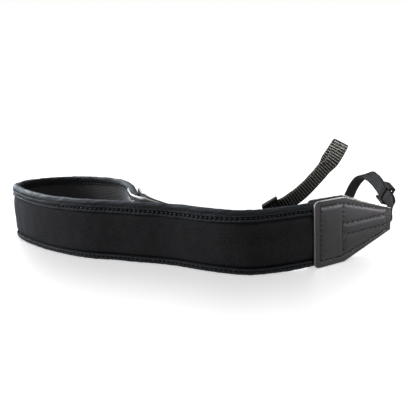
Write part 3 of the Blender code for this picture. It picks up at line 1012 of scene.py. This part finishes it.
def neoprene():
    """A fine flat knit, nearly black, with faint cloudy patches, and painted shade in its fold beside the
    lower tape.
    """
    graph = Graph("neoprene", (0.016, 0.017, 0.019), 0.8, Sheen_Weight=0.04, Sheen_Roughness=0.45)
    graph.set(Sheen_Tint=(0.72, 0.82, 1.0, 1), Specular_IOR_Level=0.10)
    along, across, at = graph.surface()
    wales = graph.wave(along, 0.00075)
    zigzag = graph.times(wales, 0.00022, across)
    courses = graph.wave(zigzag, 0.00060)
    knit = graph.times(wales, courses)
    clouds = graph.noise(at, 95, 4.0, 0.6)
    fibre = graph.noise(at, 2600, 2.0)
    speckle = graph.noise(at, 1000, 2.0, 0.7)
    shade = graph.times(speckle, 0.75, graph.times(clouds, 0.40))
    knitted = graph.blend(graph.span(shade, 0.41, 0.73), (0.0105, 0.0105, 0.0118), (0.028, 0.028, 0.0305))
    # Painted shade in the fold beside the lower tape, mixed into the knit's colour.
    graph.set(Base_Color=graph.blend(graph.mark("shaded"), knitted, (0.0005, 0.0005, 0.0006)))
    graph.set(Roughness=graph.span(clouds, 0.3, 0.7, 0.72, 0.88))
    graph.bump(graph.times(fibre, 0.5, knit), 0.00006)
    return graph.material


def ribbed_lining():
    """The lining: a painted highlight on its rib crests and painted shade in the grooves between them."""
    graph = Graph("ribbed_lining", (0.020, 0.020, 0.023), 0.55, Sheen_Weight=0.08, Sheen_Roughness=0.4)
    graph.set(Specular_IOR_Level=0.3)
    along, _, at = graph.surface()
    knit = graph.wave(along, 0.0006)
    # A painted highlight on the rib crests and painted shade in the grooves, mixed with random tone.
    crest = graph.times(graph.mark("crest"), 0.5)
    mottle_and_painted_light = graph.span(graph.times(graph.noise(at, 320, 3.0), 0.5, crest), 0.2, 0.9)
    graph.set(Base_Color=graph.blend(mottle_and_painted_light, (0.005, 0.005, 0.007), (0.030, 0.029, 0.033)))
    graph.bump(graph.times(graph.noise(at, 3000, 2.0), 0.6, knit), 0.00005)
    return graph.material


def binding_tape():
    """Woven tape: a fine twill in bluish dark grey, fuzzy, with a painted highlight where it stands up and
    painted shade in its channels and on its inner side.
    """
    graph = Graph("binding_tape", (0.040, 0.050, 0.066), 0.6, Sheen_Weight=0.08, Sheen_Roughness=0.35)
    graph.set(Sheen_Tint=(0.70, 0.82, 1.0, 1), Specular_IOR_Level=0.2)
    along, across, at = graph.surface()
    lean = graph.times(across, 1.4, along)
    twill = graph.wave(lean, 0.0009)
    weft = graph.wave(across, 0.00055)
    weave = graph.times(twill, graph.times(weft, 0.5, 0.5))
    fuzz = graph.noise(at, 800, 3.0, 0.8)
    patches = graph.noise(at, 140, 3.0)
    shade = graph.times(weave, 0.25, graph.times(fuzz, 0.75))
    shade = graph.times(patches, 0.35, shade)
    woven = graph.blend(graph.span(shade, 0.48, 0.86), (0.001, 0.0012, 0.002), (0.0245, 0.0292, 0.0375))
    # A painted highlight on the raised ridges, broken up by the fuzz; then painted shade in the channels and
    # on the inner side.
    mottle_and_painted_light = graph.times(graph.mark("raised"), graph.span(fuzz, 0.2, 0.8, 0.3, 0.9))
    woven = graph.blend(mottle_and_painted_light, woven, (0.034, 0.040, 0.050))
    graph.set(Base_Color=graph.blend(graph.mark("shaded"), woven, (0.001, 0.001, 0.0015)))
    graph.set(Roughness=graph.span(patches, 0.3, 0.7, 0.5, 0.7))
    graph.bump(graph.times(fuzz, 0.7, weave), 0.00009)
    return graph.material


def leather():
    """Smooth leather with a fine grain, pale where it is cut, with painted shade along its seams, a painted
    highlight under them and painted light towards the top.
    """
    graph = Graph("leather", (0.055, 0.052, 0.056), 0.42, Specular_IOR_Level=0.75)
    _, across, at = graph.surface()
    pebbles = graph.cells(at, 2300)
    creases = graph.cells(at, 1500, "DISTANCE_TO_EDGE")
    fine = graph.noise(at, 3200, 2.0)
    patches = graph.noise(at, 75, 4.0, 0.6)
    shade = graph.times(pebbles, -0.25, graph.times(patches, 0.8, 0.2))
    leather_colour = graph.blend(graph.span(shade, 0.3, 0.85), (0.018, 0.0166, 0.0186), (0.042, 0.0390, 0.0437))
    # Painted light: paler towards the top of the tab and just under the lengthwise seams; painted shade
    # darkens the seams first.
    painted_light = graph.maths("MAXIMUM", graph.span(across, -0.012, 0.022, 0.0, 0.16), graph.mark("polished"))
    leather_colour = graph.blend(graph.span(graph.mark("sunk"), 0.2, 1.0, 0.0, 0.8), leather_colour, (0.006, 0.006, 0.008))
    leather_colour = graph.blend(painted_light, leather_colour, (0.140, 0.132, 0.143))
    cut = graph.times(graph.mark("cut"), 0.9)
    frayed = graph.times(graph.noise(at, 900, 3.0), 0.5, cut)
    graph.set(Base_Color=graph.blend(graph.span(frayed, 0.45, 0.95), leather_colour, (0.48, 0.46, 0.435)))
    graph.set(Roughness=graph.span(patches, 0.3, 0.75, 0.30, 0.42))
    relief = graph.times(fine, 0.4)
    relief = graph.times(graph.span(creases, 0.0, 0.35), 0.5, relief)
    graph.bump(graph.times(pebbles, -0.4, relief), 0.00002)
    return graph.material


def webbing(name, painted_crest_light):
    """Black ribbed webbing: a painted highlight on its thread crests and painted shade in its grooves."""
    graph = Graph(name, (0.013, 0.013, 0.014), 0.5, Sheen_Weight=0.04, Sheen_Roughness=0.3)
    graph.set(Specular_IOR_Level=0.15)
    _, across, at = graph.surface()
    crest = graph.maths("POWER", graph.mark("crest"), 5.0)
    warp = graph.wave(across, 0.00055)
    fibre = graph.noise(at, 2400, 2.0)
    shade = graph.times(crest, graph.times(warp, 0.35, 0.65))
    shade = graph.times(fibre, 0.3, shade)
    # The crests are painted in the given light colour, the grooves in painted shade.
    graph.set(Base_Color=graph.blend(graph.span(shade, 0.15, 1.15), (0.0015, 0.0015, 0.0015), painted_crest_light))
    graph.bump(graph.times(fibre, 0.5, warp), 0.00007)
    return graph.material


def slider_plastic():
    """Black moulded plastic with a fine grained skin."""
    graph = Graph("slider_plastic", (0.006, 0.006, 0.006), 0.42, Specular_IOR_Level=0.12)
    at = graph.object_place()
    scuffs = graph.noise(at, 420, 4.0, 0.7)
    scuffed = graph.span(scuffs, 0.4, 0.8)
    graph.set(Base_Color=graph.blend(scuffed, (0.003, 0.003, 0.0035), (0.009, 0.009, 0.0095)))
    graph.set(Roughness=graph.span(scuffs, 0.3, 0.7, 0.36, 0.50))
    graph.bump(graph.noise(at, 2600, 2.0), 0.00002)
    return graph.material


def thread(name, dark, light, roughness, gloss=0.6):
    """Twisted polyester thread."""
    graph = Graph(name, light, roughness, Sheen_Weight=gloss / 3, Specular_IOR_Level=gloss)
    twist = graph.times(graph.mark("along"), 38.0, graph.mark("across"))
    strands = graph.times(graph.maths("SINE", twist), 0.5, 0.5)
    graph.set(Base_Color=graph.blend(strands, dark, light))
    graph.bump(strands, 0.00005)
    return graph.material


# ---------------- the strap


def build_band():
    """The pad, its lining, the two tapes and the rows of stitches on them."""
    tape = binding_tape()
    # The outer upper row's thread is painted lighter; the other rows get a copy of it painted in shade.
    sewing = thread("binding_thread", (0.012, 0.013, 0.016), (0.070, 0.078, 0.090), 0.30)
    sewing_in_painted_shade = thread("binding_thread_in_painted_shade", (0.005, 0.006, 0.008), (0.014, 0.017, 0.022), 0.7, 0.12)
    build_pad(neoprene())
    build_lining(ribbed_lining())
    build_tape("upper_tape", UPPER_OUTER_LIP, True, 41, tape, "binding_upper")
    build_tape("lower_tape", LOWER_OUTER_LIP, False, 51, tape, "binding_lower")
    band_stitches("upper_outer_stitches", UPPER_SEAM_FACE, UPPER_SEAM_INSET, True, sewing)
    band_stitches("lower_outer_stitches", LOWER_SEAM_FACE, LOWER_SEAM_INSET, False, sewing_in_painted_shade)
    band_stitches("upper_inner_stitches", INNER_SEAM_FACE, INNER_SEAM_INSET, True, sewing_in_painted_shade)
    band_stitches("lower_inner_stitches", INNER_SEAM_FACE, INNER_SEAM_INSET, False, sewing_in_painted_shade)


def near_length(u):
    """The length along the spine at u from the near tab's base."""
    return TAB_LENGTH - u


def far_length(u):
    """The length along the spine at u from the far tab's base."""
    return SPINE_LENGTH - TAB_LENGTH + u


def build_ends():
    """Both ends: the leather plies and their stitches, the webbing and the slider."""
    hide, plastic = leather(), slider_plastic()
    sewing = thread("tab_thread", (0.004, 0.004, 0.005), (0.026, 0.026, 0.030), 0.30)
    # The far webbing's crests are painted light and the near one's nearly black: a lit and a shaded copy of
    # one webbing.
    ends = (
        ("near", near_length, 1, NEAR_ROUTE, NEAR_SLIDER_AT, (0.006, 0.006, 0.007)),
        ("far", far_length, -1, FAR_ROUTE, FAR_SLIDER_AT, (0.115, 0.112, 0.098)),
    )
    for number, (end, length_of, side, free, slider_at, painted_crest_light) in enumerate(ends):
        for ply, face in (("outer", 1), ("inner", -1)):
            seed = 60 + 4 * number + face
            build_ply(f"{end}_{ply}_leather", length_of, face, seed, hide, f"{end}_tab_{ply}_ply")
            tab_stitches(f"{end}_{ply}_stitches", length_of, face, seed, sewing)
        first = TAB_LENGTH - WEBBING_IN_TAB
        starts = np.linspace(first, TAB_LENGTH - ROUTE_ROW_FROM_TIP, ROUTE_ROWS_IN_TAB)
        inside = [inside_tab(length_of(u), side) for u in starts]
        route = WebbingRoute(inside, free, slider_at)
        strap = webbing(f"{end}_webbing", painted_crest_light)
        build_webbing(f"{end}_ribbed_webbing", route, 70 + number, strap, f"{end}_webbing")
        build_slider(f"{end}_moulded_slider", route, plastic, f"{end}_slider")


# ---------------- the studio

CAMERA_PLACE = (0.0050, -0.4027, 0.1247)
CAMERA_PITCH = math.radians(14)
CAMERA_LENS = 43.37
SENSOR = 36
FLOOR_GLOW = 0.585
FLOOR_GLOSS = 1.55
FLOOR_ROUGHNESS = 0.50
SURROUND = 0.18
SURROUND_IN_GLOSS = 0.42
SURROUND_SEEN = 1.0


def build_camera():
    """The photograph's view: 45 degrees wide, 14 degrees down, square."""
    data = bpy.data.cameras.new("camera")
    data.sensor_width = SENSOR
    data.lens = CAMERA_LENS
    data.clip_start = 0.01
    camera = bpy.data.objects.new("camera", data)
    camera.location = CAMERA_PLACE
    camera.rotation_euler = (math.pi / 2 - CAMERA_PITCH, 0, 0)
    bpy.context.scene.collection.objects.link(camera)
    bpy.context.scene.camera = camera


def build_floor():
    """A white floor lit from below, like a light table, with a glossy top that mirrors the strap."""
    bpy.ops.mesh.primitive_plane_add(size=6)
    floor = bpy.context.object
    floor.name = "floor"
    floor.visible_diffuse = False
    floor.visible_glossy = False
    lit = bpy.data.materials.new("floor")
    lit.use_nodes = True
    nodes, links = lit.node_tree.nodes, lit.node_tree.links
    glow = nodes.new("ShaderNodeEmission")
    glow.inputs["Strength"].default_value = FLOOR_GLOW
    gloss = nodes.new("ShaderNodeBsdfGlossy")
    gloss.inputs["Color"].default_value = (FLOOR_GLOSS, FLOOR_GLOSS, FLOOR_GLOSS, 1)
    gloss.inputs["Roughness"].default_value = FLOOR_ROUGHNESS
    both = nodes.new("ShaderNodeAddShader")
    links.new(glow.outputs[0], both.inputs[0])
    links.new(gloss.outputs[0], both.inputs[1])
    links.new(both.outputs[0], nodes["Material Output"].inputs["Surface"])
    floor.data.materials.append(lit)
    return floor


Softbox = namedtuple("Softbox", "name place aim width height power spread colour")
SOFTBOXES = (
    Softbox("left_back", (-0.55, 0.35, 0.40), (-0.12, 0, 0.04), 0.3, 0.3, 9.5, 180, (0.84, 0.92, 1)),
    Softbox("left", (-0.95, -0.15, 0.35), (-0.10, 0, 0.02), 0.4, 0.5, 9.7, 180, (1, 1, 1)),
    Softbox("right", (0.80, -0.70, 0.40), (0.15, -0.02, 0.03), 0.25, 0.25, 0.03, 28, (1, 1, 1)),
    Softbox("right_high", (0.60, -0.25, 0.85), (0.105, -0.055, 0.03), 0.15, 0.15, 0.035, 12, (1, 1, 1)),
    Softbox("ends", (0.00, -0.58, 0.52), (0.115, -0.05, 0.085), 0.04, 0.04, 0.06, 8, (1, 1, 1)),
)


def build_lights(floor):
    """Softboxes round the strap, which leave the floor alone."""
    unlit = bpy.data.collections.new("unlit")
    unlit.objects.link(floor)
    unlit.collection_objects[0].light_linking.link_state = "EXCLUDE"
    for box in SOFTBOXES:
        data = bpy.data.lights.new(box.name, "AREA")
        data.shape = "RECTANGLE"
        data.size = box.width
        data.size_y = box.height
        data.energy = box.power
        data.color = box.colour
        data.spread = math.radians(box.spread)
        light = bpy.data.objects.new(box.name, data)
        light.location = box.place
        light.light_linking.receiver_collection = unlit
        light.rotation_euler = (Vector(box.aim) - Vector(box.place)).to_track_quat("-Z", "Y").to_euler()
        bpy.context.scene.collection.objects.link(light)


def build_surround():
    """A white surround, dimmer where it lights the strap or shows in its gloss than behind it."""
    world = bpy.data.worlds.new("studio")
    bpy.context.scene.world = world
    world.use_nodes = True
    nodes, links = world.node_tree.nodes, world.node_tree.links
    background = nodes["Background"]
    rays = nodes.new("ShaderNodeLightPath")
    strength = nodes.new("ShaderNodeValue").outputs[0]
    strength.default_value = SURROUND
    for ray, seen in (("Is Glossy Ray", SURROUND_IN_GLOSS), ("Is Camera Ray", SURROUND_SEEN)):
        more = nodes.new("ShaderNodeMath")
        more.operation = "MULTIPLY_ADD"
        links.new(rays.outputs[ray], more.inputs[0])
        more.inputs[1].default_value = seen - SURROUND
        links.new(strength, more.inputs[2])
        strength = more.outputs[0]
    links.new(strength, background.inputs["Strength"])
    background.inputs["Color"].default_value = (1, 1, 1, 1)


build_camera()
build_lights(build_floor())
build_surround()
bpy.context.scene.view_settings.view_transform = "Standard"
build_band()
build_ends()
